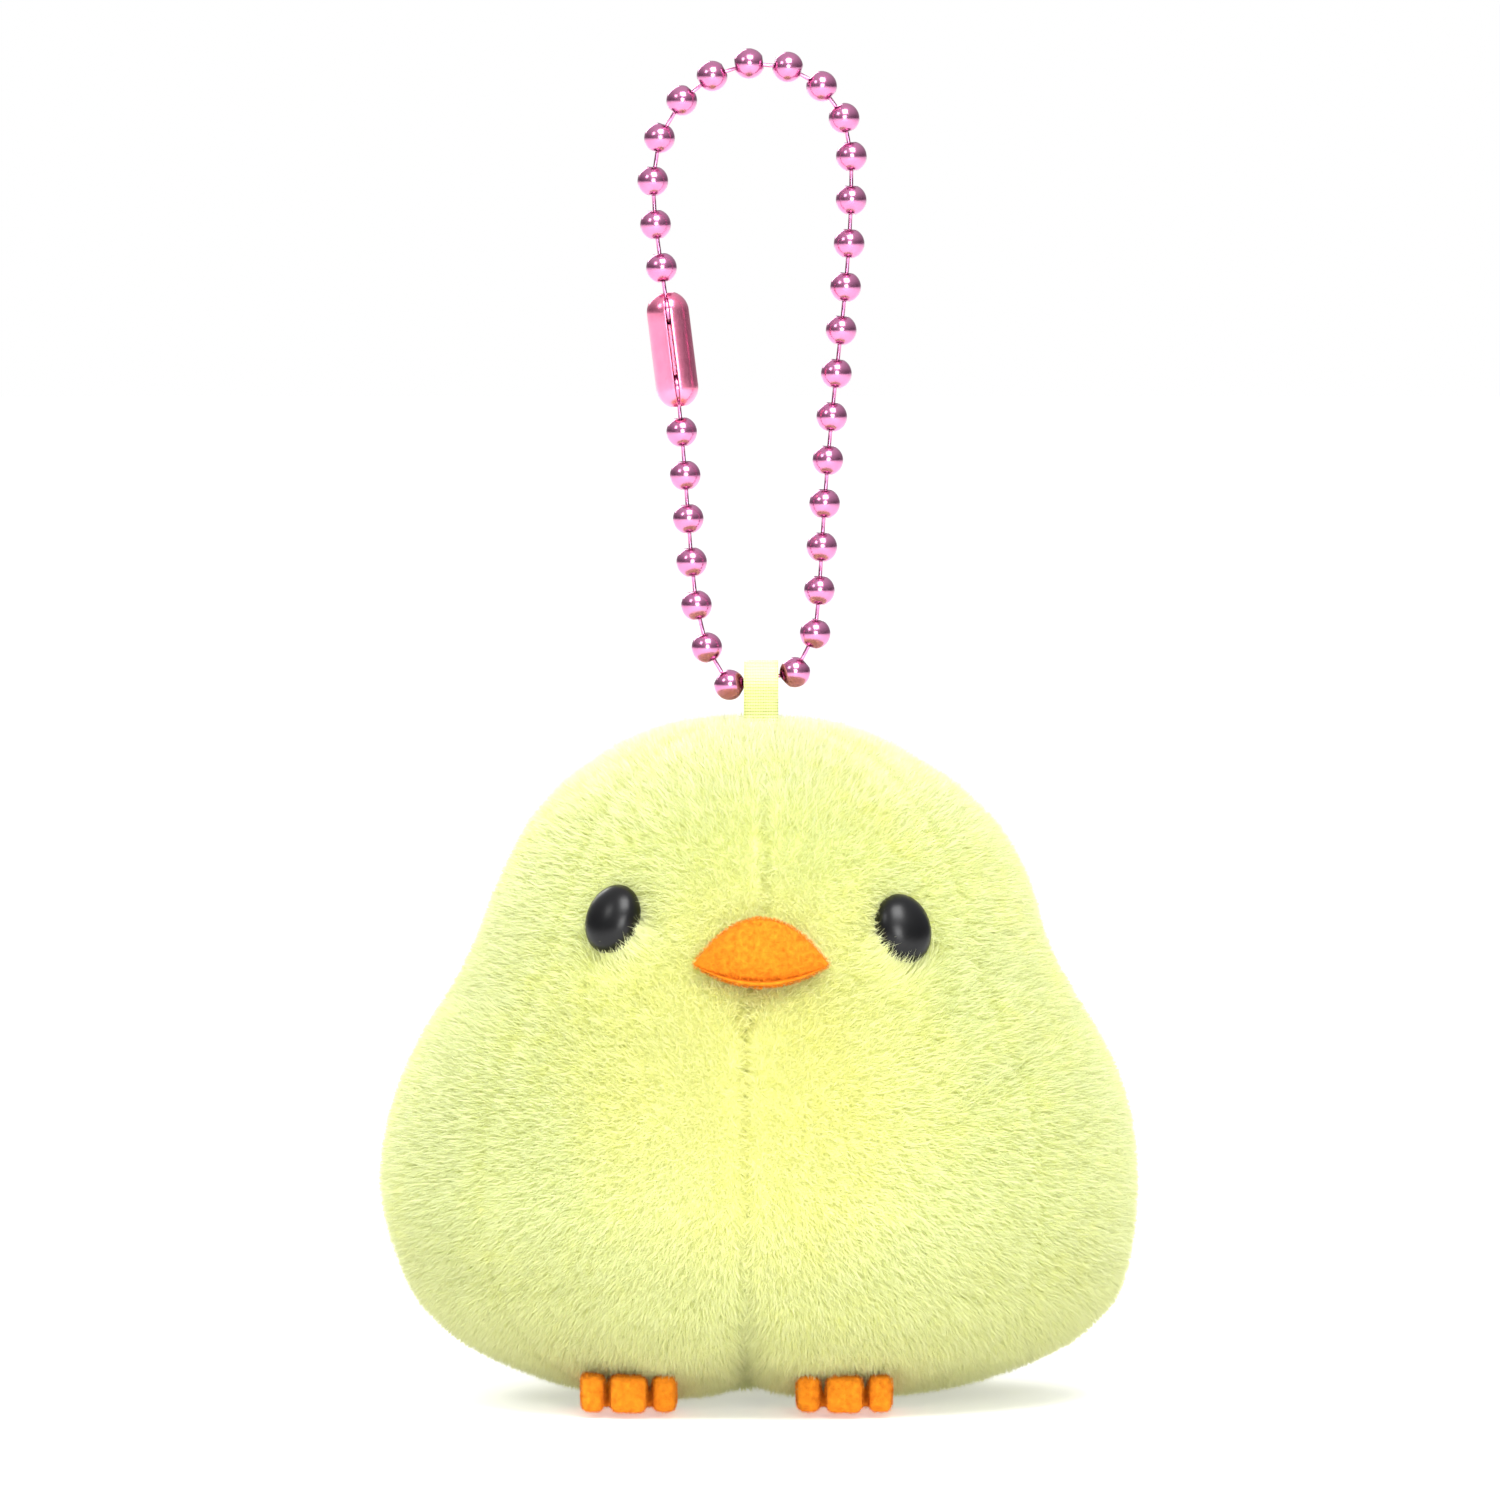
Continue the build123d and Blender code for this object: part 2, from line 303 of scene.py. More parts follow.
camera_data = bpy.data.cameras.new("camera")
camera_data.lens = view_lens
camera_data.sensor_width = 36.0
camera = bpy.data.objects.new("camera", camera_data)
scene.collection.objects.link(camera)
distance = view_width * view_lens / camera_data.sensor_width
camera.location = view_middle + distance * Vector((0, -cos(view_tilt), sin(view_tilt)))
camera.rotation_euler = (pi / 2 - view_tilt, 0, 0)
camera_data.clip_start = 0.01
scene.camera = camera
print("camera stands off", round(distance, 3), "m")

# %% Floor
floor_finish, graph = finish_named("floor_white")
graph.shader(
    Base_Color=tint("#f4f4f4"),
    Roughness=0.9,
    Specular_IOR_Level=0.1,
    Emission_Color=tint("#ffffff"),
    Emission_Strength=0.42,
)
bm = bmesh.new()
bmesh.ops.create_grid(bm, x_segments=1, y_segments=1, size=3.0)
floor = thing("floor", bm, floor_finish)

# %% Light
scene.view_settings.view_transform = "Standard"
world = bpy.data.worlds.new("studio")
scene.world = world
world.use_nodes = True
sky = Graph(world.node_tree)
ahead = sky.axes(sky.node("ShaderNodeTexCoord", out="Generated"))
backdrop = ((ahead[1] - 0.965) / 0.015).held()
overhead = ((ahead[2] - 0.1) / 0.8).held()
aside = (ahead[0] * ahead[0]).held()
room = sky.blend(aside, tint("#a4a4a6"), tint("#6c6c6e"))
room = sky.blend(overhead, room, tint("#f2f2f4"))
backdrop = sky.blend(backdrop, room, tint("#ffffff"))
background = sky.node("ShaderNodeBackground", None, {"Color": backdrop, "Strength": 1.0})
sky.node("ShaderNodeOutputWorld", None, {"Surface": background})


def soft_box(name, place, size, power, aim=(0, 0, 0.05)):
    """A square lamp that faces a point of the object."""
    data = bpy.data.lights.new(name, "AREA")
    data.size = size
    data.energy = power
    lamp = bpy.data.objects.new(name, data)
    lamp.location = place
    lamp.rotation_euler = (Vector(aim) - Vector(place)).to_track_quat("-Z", "Y").to_euler()
    scene.collection.objects.link(lamp)


soft_box("key", (0.1, -0.45, 0.68), 0.4, 6.0)
soft_box("front", (0.08, -0.75, 0.2), 0.25, 2.7)
soft_box("upper_left", (-0.5, -0.4, 0.5), 0.2, 0.8)
soft_box("back", (-0.3, 0.7, 0.45), 0.4, 3.5)

# %% [markdown]
# ## The puffed body
#
# A sewn toy is cut from flat panels, turned inside out and stuffed until the seams pull
# tight. The outline below runs over the tips of the pile, from under the seat to the top
# of the head. It is turned round the upright axis, drawn in by the depth of the pile, and
# then puffed by a cloth simulation with the seams held, so that the panels crown.

# %% Outline over the pile
body_height = 53.4
body_radius = 29.6
outline = [
    (0, 0),
    (6.0, 0.0),
    (12.5, 0.35),
    (17.4, 1.4),
    (21.6, 3.0),
    (24.8, 4.6),
    (27.9, 7.6),
    (29.2, 12.0),
    (29.75, 15.6),
    (29.65, 18.5),
    (29.1, 21.7),
    (28.1, 24.8),
    (26.6, 27.9),
    (24.7, 31.0),
    (22.9, 34.1),
    (21.9, 36.4),
    (21.2, 38.9),
    (20.0, 41.9),
    (18.3, 45.0),
    (15.4, 48.1),
    (10.6, 51.3),
    (6.5, 52.8),
    (0, 53.4),
]
pile_depth = 1.5
side_seam_angle = 47.0
turn_steps = 96

# The toy leans a little: its middle is off to one side by these shifts at these levels.
lean_levels = (0, 2, 7.6, 16, 25, 35, 42, 50, 54)
lean_shifts = (0, 0.2, 0.55, -0.2, 0, 0, 0.35, -0.5, -0.2)


def drawn_in(depth):
    """The outline's points with the body drawn in by a depth, in millimetres."""
    squeeze = (body_height - 2 * depth) / body_height
    shrink = (body_radius - depth) / body_radius
    return [(wide * shrink, depth + up * squeeze) for wide, up in outline]


def turned(profile, steps):
    """A closed form turned round the upright axis from a profile in millimetres."""
    bm = bmesh.new()
    lathe(bm, [(wide * mm, up * mm) for wide, up in profile], steps)
    bmesh.ops.remove_doubles(bm, verts=bm.verts, dist=1e-6)
    bmesh.ops.recalc_face_normals(bm, faces=bm.faces)
    return bm


print("outline points", len(outline))

# %% [markdown]
# ## Where the face is
#
# The eyes, the beak and the feet come from the frame, so the places where the cover dips
# or stays bare are read from there. A ray from the front finds each eye and its slant.

# %% Eye places
eye_targets = {"left": (-11.4 * mm, 38.3 * mm), "right": (10.9 * mm, 37.6 * mm)}
eye_proud = 1.3 * mm
eye_places = {}
for side, (across, level) in eye_targets.items():
    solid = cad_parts[f"eye_{side}"]
    _, front, slant, _ = solid.ray_cast(Vector((across, -0.1, level)), Vector((0, 1, 0)))
    tips = front + Vector((0, eye_proud / abs(slant.y), 0))
    eye_places[side] = (tips, slant, -1 if across < 0 else 1)
    print(side, "eye at", [round(c / mm, 2) for c in tips], [round(c, 2) for c in slant])

_, beak_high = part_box("beak_upper")
lip_low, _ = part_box("beak_lower")
foot_boxes = {side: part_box(f"foot_{side}") for side in ("left", "right")}
loop_low, loop_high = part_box("hang_loop")

# %% Body before it is puffed
start_inset = pile_depth + 0.08
core = thing("core", turned(drawn_in(start_inset), turn_steps))
turned_points = points_of(core.data)
turned_points[:, 0] += np.interp(turned_points[:, 2] / mm, lean_levels, lean_shifts) * mm
put_points(core.data, turned_points)
remesh = core.modifiers.new("even", "REMESH")
remesh.mode = "VOXEL"
remesh.voxel_size = 0.85 * mm
settle(core)
print("core", len(core.data.vertices), "points")


# %% Seams, sockets and the cleft as weights
def seam_nearness(points, width):
    """How near each point is to a seam, from 0 to 1, for each of the body's four seams."""
    near = np.zeros(len(points))
    turn = np.arctan2(points[:, 1], points[:, 0])
    reach = np.hypot(points[:, 0], points[:, 1])
    for angle in (-90, 90, -90 - side_seam_angle, -90 + side_seam_angle):
        gap = (turn - radians(angle) + pi) % tau - pi
        apart = np.where(np.abs(gap) < pi / 2, np.abs(reach * np.sin(gap)), 1.0)
        near = np.maximum(near, valley(apart, width))
    return near


def near_eyes(points, width):
    """How near each point is to the middle of an eye, from 0 to 1."""
    near = np.zeros(len(points))
    for front, _, _ in eye_places.values():
        apart = np.linalg.norm(points - np.array(front), axis=1)
        near = np.maximum(near, valley(apart, width))
    return near


start_points = points_of(core.data)
seam_hold = 0.8
held = seam_hold * seam_nearness(start_points, 0.8 * mm) + near_eyes(start_points, 3.4 * mm)
held = np.clip(held, 0, 1)
held = np.maximum(held, 1 - smooth_step(2.0 * mm, 4.5 * mm, start_points[:, 2]))
print("held points", int((held > 0.5).sum()))

# %% [markdown]
# ## Puffing the panels
#
# The toy is small, and a cloth solver is tuned for things about a metre across. A copy is
# made ten times as large, filled with air for twenty frames and read back. How far a point
# may travel is capped, which keeps the toy inside the size of its solid.

# %% Cloth simulation
enlarge = 10.0
most_swell = 0.45 * mm


def puffed(obj, weights, frames=20):
    """Where an object's points go when it is filled with air and its seams are held."""
    big = obj.copy()
    big.data = obj.data.copy()
    scene.collection.objects.link(big)
    put_points(big.data, points_of(obj.data) * enlarge)
    group = big.vertex_groups.new(name="held")
    for level in range(11):
        chosen = np.flatnonzero(np.round(weights * 10) == level).tolist()
        group.add(chosen, level / 10, "REPLACE")
    cloth = big.modifiers.new("air", "CLOTH")
    cloth.settings.quality = 5
    cloth.settings.mass = 0.3
    cloth.settings.use_pressure = True
    cloth.settings.uniform_pressure_force = 4.0
    cloth.settings.effector_weights.gravity = 0.0
    cloth.settings.vertex_group_mass = "held"
    cloth.point_cache.frame_start = 1
    cloth.point_cache.frame_end = frames
    for step in range(1, frames + 1):
        scene.frame_set(step)
    graph = bpy.context.evaluated_depsgraph_get()
    result = points_of(big.evaluated_get(graph).data) / enlarge
    bpy.data.objects.remove(big)
    scene.frame_set(1)
    return result


swollen = puffed(core, held)
travel = swollen - start_points
length = np.linalg.norm(travel, axis=1)
soft_cap = most_swell * length / (most_swell + length + 1e-12)
print("largest travel", round(float(length.max()) / mm, 2), "mm")
body_points = start_points + travel * (soft_cap / np.maximum(length, 1e-12))[:, None]
put_points(core.data, body_points)
divide = core.modifiers.new("fine", "SUBSURF")
divide.levels = divide.render_levels = 1
settle(core)
print("body", len(core.data.vertices), "points")

# %% [markdown]
# ## Seams and creases
#
# A seam in plush is a fine valley where the fabric turns in. Under the belly the stuffing
# bulges past the middle seam and makes it a deep cleft. The eyes are pulled in from behind,
# so each one sits in a shallow socket, and a soft crease marks the neck on each side.


# %% Valleys
valley_depths = {
    "seam": 0.42,
    "cleft": 1.3,
    "hollow": 0.9,
    "chin": 0.5,
    "socket": 0.9,
    "neck_left": 0.4,
    "neck_right": 0.3,
}
chin_level = 31.3 * mm


def neck_fold(across, up, level, from_side, rise, half_width):
    """A fold in the flank, which climbs as it goes away from the place where it starts."""
    return valley(up - level - rise * (across - from_side), half_width)


def carve(points, normals):
    """The points moved in along their normals, so that seams and folds become valleys."""
    x, y, z = points.T
    front = y < 0
    off_seat = smooth_step(0, 2 * mm, z)
    cleft = valley(x, 1.5 * mm) * (1 - smooth_step(5 * mm, 12 * mm, z))
    hollow = valley(x, 4.5 * mm) * (1 - smooth_step(3 * mm, 14 * mm, z))
    left = neck_fold(x, z, 31.5 * mm, -22 * mm, 0.16, 1.4 * mm)
    right = neck_fold(x, z, 26.0 * mm, 17 * mm, 0.6, 1.3 * mm)
    valleys = {
        "seam": seam_nearness(points, 0.3 * mm),
        "cleft": front * cleft * off_seat,
        "hollow": front * hollow * off_seat,
        "chin": front * valley(x, 1.3 * mm) * valley(z - chin_level, 1.3 * mm),
        "socket": near_eyes(points, 3.6 * mm),
        "neck_left": front * left * smooth_step(-17 * mm, -22 * mm, x),
        "neck_right": front * right * smooth_step(13 * mm, 17 * mm, x),
    }
    depth = sum(valley_depths[name] * valleys[name] for name in valleys)
    return points - normals * (depth * mm)[:, None]


def seam_drift(points):
    """How far the front middle seam wanders from the middle of the toy at each point."""
    x, y, z = points.T
    in_front = smooth_step(0, -12 * mm, y) * (1 - smooth_step(6 * mm, 20 * mm, np.abs(x)))
    return (0.3 * mm - 1.5 * mm * smooth_step(36 * mm, 31 * mm, z)) * in_front


body_points = carve(points_of(core.data), normals_of(core.data))
put_points(core.data, body_points)

# %% [markdown]
# ## Plush
#
# The pile is what makes plush look like plush, so it is modelled and not painted: each
# fibre is a bent sliver of two triangles. Slivers are scattered evenly over each panel,
# lean with the nap and gather in small tufts. Their roots are painted darker than their
# tips, a painted shade that gives the pile its depth. Fine fibre also lets light through, so a
# share of each fibre is lit from behind, and the pile looks soft instead of scratched.

# %% Pile finish
pile_finish, graph = finish_named("lemon_pile")
place = graph.place()
across, along_depth, up = graph.axes(place)
rise = graph.attribute("rise")
chance = graph.attribute("chance")
drift = graph.grain(9 * mm, 2.0)
mottle = graph.grain(1.3 * mm, 3.0)
face_level = 27 * mm
middle = across / (17 * mm)
height_share = (up - face_level) / (19 * mm)
warm = 1 - (middle * middle + height_share * height_share)
front_side = (0 - along_depth) / (24 * mm)
warm = (warm.held() * front_side.held() + (drift - 0.5) * 0.8).held()
# Painted light: the pile is painted paler towards the top of the head, as if lit from above.
crown = ((up - 44 * mm) / (8 * mm)).held()
pale = graph.blend(crown, tint("#eff4cc"), tint("#fafcee"))
# Painted shade: the pile is painted greyer and darker towards the sides, where the light falls off.
flank = ((abs(across) - 11 * mm) / (13 * mm)).held() * 0.6
pale = graph.blend(flank, pale, tint("#dae1b4"))
pale = graph.blend(warm, pale, tint("#fdfbc6"))
moss = ((drift - 0.35) * 3.0).held() * ((mottle - 0.45) * 5.0).held() * 0.55
pale = graph.blend(moss, pale, tint("#eef08e"))
# Painted shade: the pile is painted darker towards the bottom, under the belly.
low = (1 - up / (16 * mm)).held()
pale = graph.blend(low, pale, tint("#d0d19c"))
pale = graph.blend((chance - 0.6).held() * 0.9, pale, tint("#ffffe8"))
# Painted shade: each fibre is painted darker towards its root, standing in for the shade deep in the pile.
root = graph.blend(rise, tint("#f4f5d4"), tint("#ffffff"))
multiply = {"data_type": "RGBA", "blend_type": "MULTIPLY"}
fibre_shade = graph.node("ShaderNodeMix", multiply, {0: 1.0, 6: pale, 7: root}, out=2)
sockets = {"Base Color": fibre_shade, "Roughness": 0.8, "Specular IOR Level": 0.15}
lit_side = graph.node("ShaderNodeBsdfPrincipled", None, sockets)
far_side = graph.node("ShaderNodeBsdfTranslucent", None, {"Color": tint("#f4f5c8")})
light_through = 0.4
both_sides = graph.node("ShaderNodeMixShader", None, {0: light_through, 1: lit_side, 2: far_side})
graph.node("ShaderNodeOutputMaterial", None, {"Surface": both_sides})

# %% Backing finish
backing_finish, graph = finish_named("pile_backing")
knit = graph.grain(0.5 * mm, 2.0)
shade = graph.blend(knit, tint("#eef1b0"), tint("#fafcc8"))
graph.shader(Base_Color=shade, Roughness=0.95, Normal=graph.bump(knit, 0.2 * mm))


# %% Sliver of fibre
def sliver(name, finish, width, curl):
    """A fibre one unit tall: a kite with its root at the origin, folded and bent over."""
    bm = bmesh.new()
    bmesh.ops.create_circle(bm, cap_ends=True, segments=4, radius=0.5)
    sides = [v for v in bm.verts if abs(v.co.x) > 0.1]
    bmesh.ops.connect_verts(bm, verts=sides)
    bmesh.ops.transform(bm, matrix=Matrix.Translation((0, 0.5, 0)), verts=bm.verts)
    bmesh.ops.transform(bm, matrix=Matrix.Rotation(radians(90), 4, "X"), verts=bm.verts)
    bmesh.ops.transform(bm, matrix=Matrix.Rotation(radians(90), 4, "Z"), verts=bm.verts)
    bmesh.ops.scale(bm, vec=(1, width, 1), verts=bm.verts)
    for vert in bm.verts:
        vert.co.x = -curl * vert.co.z**2
    rise = bm.verts.layers.float.new("rise")
    for vert in bm.verts:
        vert[rise] = vert.co.z
    return thing(name, bm, finish)


# %% Planting tree
def planting(fibre, density, seed, height, spread, tuft, tuft_size, twist=0.7):
    """A node tree that plants a fibre all over a surface, by the surface's own attributes."""
    tree = bpy.data.node_groups.new("planting", "GeometryNodeTree")
    tree.interface.new_socket("Geometry", in_out="INPUT", socket_type="NodeSocketGeometry")
    tree.interface.new_socket("Geometry", in_out="OUTPUT", socket_type="NodeSocketGeometry")
    graph = Graph(tree)

    def read(name, kind):
        settings = {"data_type": kind}
        return graph.node("GeometryNodeInputNamedAttribute", settings, {"Name": name})

    def vector(operation, first, second):
        return graph.node("ShaderNodeVectorMath", {"operation": operation}, {0: first, 1: second})

    def longer(direction, scale):
        sockets = {0: direction, "Scale": scale}
        return graph.node("ShaderNodeVectorMath", {"operation": "SCALE"}, sockets)

    def chance(low, high, offset):
        settings = {"data_type": "FLOAT"}
        sockets = {2: low, 3: high, "Seed": seed + offset}
        return graph.node("FunctionNodeRandomValue", settings, sockets, out=1)

    ground = graph.node("NodeGroupInput")
    sockets = {0: ground, "Density": read("thick", "FLOAT") * density, "Seed": seed}
    scatter = graph.node("GeometryNodeDistributePointsOnFaces", None, sockets)
    normal = Value(graph, scatter.socket.node.outputs["Normal"])
    clump = graph.node("ShaderNodeTexNoise", None, {"Scale": 1 / tuft_size, "Detail": 1.5}, out=1)
    gather = longer(vector("SUBTRACT", clump, (0.5, 0.5, 0.5)), tuft)
    stray_sockets = {0: (-spread, -spread, -spread), 1: (spread, spread, spread), "Seed": seed + 3}
    stray = graph.node("FunctionNodeRandomValue", {"data_type": "FLOAT_VECTOR"}, stray_sockets)
    heading = vector("ADD", read("nap", "FLOAT_VECTOR"), vector("ADD", gather, stray))
    upright = graph.node("FunctionNodeAlignRotationToVector", {"axis": "Z"}, {"Vector": heading})
    settings = {"axis": "X", "pivot_axis": "Z"}
    sockets = {"Rotation": upright, "Vector": normal}
    faced = graph.node("FunctionNodeAlignRotationToVector", settings, sockets)
    turn = graph.node("ShaderNodeCombineXYZ", None, {"Z": chance(-twist, twist, 5)})
    turned_by = graph.node("FunctionNodeEulerToRotation", None, {0: turn})
    spun = graph.node(
        "FunctionNodeRotateRotation", {"rotation_space": "LOCAL"}, {"Rotation": faced, "Rotate By": turned_by}
    )
    tall = read("tall", "FLOAT") * chance(0.7, 1.15, 7) * height
    size = graph.node("ShaderNodeCombineXYZ", None, {"X": tall, "Y": height, "Z": tall})
    info = graph.node("GeometryNodeObjectInfo", None, {"Object": fibre}, out="Geometry")
    sockets = {"Points": scatter, "Instance": info, "Rotation": spun, "Scale": size}
    planted = graph.node("GeometryNodeInstanceOnPoints", None, sockets)
    settings = {"data_type": "FLOAT", "domain": "INSTANCE"}
    sockets = {"Geometry": planted, "Name": "chance", "Value": chance(0.0, 1.0, 11)}
    marked = graph.node("GeometryNodeStoreNamedAttribute", settings, sockets)
    real = graph.node("GeometryNodeRealizeInstances", None, {"Geometry": marked})
    graph.node("NodeGroupOutput", None, {0: real})
    return tree


def with_pile(name, ground, fibre, **sizes):
    """A piece that holds all the fibres planted on a surface."""
    pile = bpy.data.objects.new(name, ground.data.copy())
    scene.collection.objects.link(pile)
    grow = pile.modifiers.new("grow", "NODES")
    grow.node_group = planting(fibre, **sizes)
    settle(pile)
    pile.data.polygons.foreach_set("use_smooth", [True] * len(pile.data.polygons))
    for attribute in list(pile.data.attributes):
        if attribute.name in ("nap", "thick", "tall"):
            pile.data.attributes.remove(attribute)
    return pile


def nap_attributes(mesh, nap, thick, tall):
    """Write on a surface which way its pile leans, how thick it grows and how tall."""
    mesh.attributes.new("nap", "FLOAT_VECTOR", "POINT").data.foreach_set("vector", nap.ravel())
    mesh.attributes.new("thick", "FLOAT", "POINT").data.foreach_set("value", thick)
    mesh.attributes.new("tall", "FLOAT", "POINT").data.foreach_set("value", tall)


# %% [markdown]
# ## Which way the nap lies
#
# Plush is brushed: on this toy the pile lies downwards and a little outwards from the
# middle. It stands away from the seams, and the tufts under each eye stand up over the
# eye's lower rim. No pile grows under the eyes, the beak, the feet or the ribbon.


# %% Nap of the body
def body_nap(mesh):
    """Which way the pile leans at each point of the body, how thick it grows and how tall."""
    points, normals = points_of(mesh), normals_of(mesh)
    x, y, z = points.T
    down = np.array([0.0, 0.0, -1.0]) - normals * -normals[:, 2:3]
    sideways = np.stack([np.sign(x) * smooth_step(0, 8 * mm, np.abs(x)), 0 * x, 0 * x], axis=1)
    sideways -= normals * (sideways * normals).sum(axis=1, keepdims=True)
    nap = normals + 0.28 * down + 0.1 * sideways
    thick = np.ones(len(points))
    tall = np.ones(len(points))
    for front, slant, _ in eye_places.values():
        middle, outwards = np.array(front), np.array(slant)
        away = points - middle
        away -= outwards * (away @ outwards)[:, None]
        apart = np.sqrt((away[:, 0] / 2.2) ** 2 + (away[:, 2] / 2.7) ** 2 + (away[:, 1] / 2.2) ** 2) / mm
        on_front = (np.linalg.norm(points - middle, axis=1) < 8 * mm).astype(float)
        rim = on_front * (1 - smooth_step(1.0, 1.9, apart))
        under = rim * smooth_step(0.2 * mm, -1.2 * mm, away[:, 2])
        towards = -away / np.maximum(np.linalg.norm(away, axis=1), 1e-9)[:, None]
        nap += (1.3 * under)[:, None] * towards + (0.8 * under)[:, None] * np.array([0, 0, 1.0])
        tall *= 1 + 0.9 * under
        thick *= 1 - on_front * (1 - smooth_step(0.80, 0.98, apart))
    beak_middle = (beak_high.z + lip_low.z) / 2
    half_beak = (beak_high.z - lip_low.z) / 2
    beak_reach = np.sqrt((x / beak_high.x) ** 2 + ((z - beak_middle) / half_beak) ** 2)
    thick *= 1 - (y < 0) * (1 - smooth_step(0.75, 0.95, beak_reach))
    for low, high in foot_boxes.values():
        margin = 0.3 * mm
        inside = (x > low.x - margin) * (x < high.x + margin) * (z < high.z)
        inside = inside * (y > low.y - margin) * (y < high.y)
        thick *= 1 - 0.95 * inside
    ribbon_reach = np.maximum(np.abs(x) / (1.4 * mm), np.abs(y) / (0.7 * mm))
    thick *= 1 - (z > 45 * mm) * (ribbon_reach < 1)
    tall *= 1 - 0.2 * seam_nearness(points, 0.4 * mm)
    thick *= 1 - 0.65 * seam_nearness(points, 0.2 * mm)
    tall *= 1 - 0.45 * (1 - smooth_step(0.5 * mm, 2.5 * mm, z))
    return nap, thick, tall


# %% [markdown]
# ## Cutting the cover into its panels
#
# The cover is four panels: two in front, with the middle seam between them, and two at the
# sides that meet at the back. Each is cut from the body by the two upright planes of its
# seams, planted with its pile, and then given the thickness of its knitted backing. The
# pile of a side panel is planted in three shares, which keeps each piece light.

# %% Panels and their pile
fibres_per_square_mm = 78.0
pile_height = 1.7 * mm
backing_thickness = 0.6 * mm
fibre = sliver("fibre", pile_finish, width=0.04, curl=0.12)
panels = {
    "front_left": (-90 - side_seam_angle, -90),
    "front_right": (-90, -90 + side_seam_angle),
    "side_right": (-90 + side_seam_angle, 90),
    "side_left": (90, 270 - side_seam_angle),
}


def panel_of(body, start, end):
    """The part of the body between two upright planes through the middle."""
    bm = bmesh.new()
    bm.from_mesh(body.data)
    for angle, side in ((start, 1), (end, -1)):
        across = side * Vector((-sin(radians(angle)), cos(radians(angle)), 0))
        everything = bm.verts[:] + bm.edges[:] + bm.faces[:]
        cut = {"plane_co": (0, 0, 0), "plane_no": across, "clear_inner": True}
        bmesh.ops.bisect_plane(bm, geom=everything, dist=1e-6, **cut)
    return bm


def fleece(name, panel, start, end, seed):
    """The pile on the part of a panel between two upright planes."""
    ground = thing("ground", panel_of(panel, start, end))
    pile = with_pile(
        name,
        ground,
        fibre,
        density=fibres_per_square_mm / mm**2,
        seed=seed,
        height=pile_height,
        spread=0.38,
        tuft=0.6,
        tuft_size=0.6 * mm,
    )
    bpy.data.objects.remove(ground)
    return belongs(pile, "plush", "pile_cover")


pile_total = 0
for number, (name, (start, end)) in enumerate(panels.items()):
    panel = thing(f"panel_{name}", panel_of(core, start, end), backing_finish)
    nap_attributes(panel.data, *body_nap(panel.data))
    shares = 3 if name.startswith("side") else 1
    turns = np.linspace(start, end, shares + 1)
    for share in range(shares):
        label = f"pile_{name}" if shares == 1 else f"pile_{name}_{share + 1}"
        pile = fleece(label, panel, turns[share], turns[share + 1], 40 + 4 * number + share)
        moved = points_of(pile.data)
        moved[:, 0] += seam_drift(moved)
        put_points(pile.data, moved)
        pile_total += len(pile.data.polygons)
    shifted = points_of(panel.data)
    shifted[:, 0] += seam_drift(shifted)
    put_points(panel.data, shifted)
    wall = bmesh.new()
    wall.from_mesh(panel.data)
    bmesh.ops.solidify(wall, geom=wall.faces[:], thickness=backing_thickness)
    wall.to_mesh(panel.data)
    wall.free()
    belongs(panel, "plush", "pile_cover", f"cover_{name}")
print("fibre faces", pile_total)

# %% [markdown]
# ## Stuffing
#
# Behind the cover is polyester fill. It never shows, but the toy would be hollow without
# it, so it is the body's outline, turned and drawn in behind the backing, with a loose fibrous look.

# %% Stuffing
fill_finish, graph = finish_named("polyester_fill")
wisps = graph.grain(2.5 * mm, 6.0)
fill_shade = graph.blend(wisps, tint("#e4e4e0"), tint("#fbfbf8"))
graph.shader(Base_Color=fill_shade, Roughness=1.0, Normal=graph.bump(wisps, 0.6 * mm))
fill_depth = 4.0
filling = thing("filling", turned(drawn_in(fill_depth), 48), fill_finish)
divide = filling.modifiers.new("soft", "SUBSURF")
divide.levels = divide.render_levels = 1
settle(filling)
belongs(filling, "plush", "stuffing", "stuffing")

# %% [markdown]
# ## Eyes
#
# Each eye is a moulded plastic dome with a hard gloss. A ball squeezed to the eye's width,
# height and depth has that crown, and a stalk behind it goes through the cover.

# %% Eye finish
eye_finish, graph = finish_named("black_gloss_plastic")
smear = graph.grain(1.5 * mm, 3.0)
dust = graph.blend(smear, tint("#030304"), tint("#08080a"))
graph.shader(Base_Color=dust, Roughness=0.26 + smear * 0.1, Specular_IOR_Level=0.32)

# %% Eyes
eye_half = Vector((2.25, 2.75, 1.55)) * mm
eye_lean = radians(8)
eye_set_in = 0.75 * mm
stalk_radius = 0.8 * mm
stalk_length = 4.0 * mm
stalk_depth = 3.0 * mm
for side, (front, slant, sign) in eye_places.items():
    upwards = (Vector((0, 0, 1)) - slant * slant.z).normalized()
    sideways = upwards.cross(slant)
    inwards = sideways * (-sign if sideways.x > 0 else sign)
    tall_way = upwards * cos(eye_lean) + inwards * sin(eye_lean)
    wide_way = tall_way.cross(slant)
    seat = front + Vector((0, eye_set_in / abs(slant.y), 0))
    basis = Matrix([wide_way, tall_way, slant]).transposed().to_4x4()
    bm = bmesh.new()
    bmesh.ops.create_uvsphere(bm, u_segments=48, v_segments=32, radius=1.0)
    bmesh.ops.scale(bm, vec=eye_half, verts=bm.verts)
    rod = {"radius1": stalk_radius, "radius2": stalk_radius, "depth": stalk_length}
    stalk = bmesh.ops.create_cone(bm, cap_ends=True, segments=24, **rod)["verts"]
    bmesh.ops.translate(bm, vec=(0, 0, -stalk_depth), verts=stalk)
    bmesh.ops.transform(bm, matrix=Matrix.Translation(seat) @ basis, verts=bm.verts)
    dome = thing(f"dome_{side}", bm, eye_finish)
    belongs(dome, "plush", "eye_plastic", f"eye_{side}")

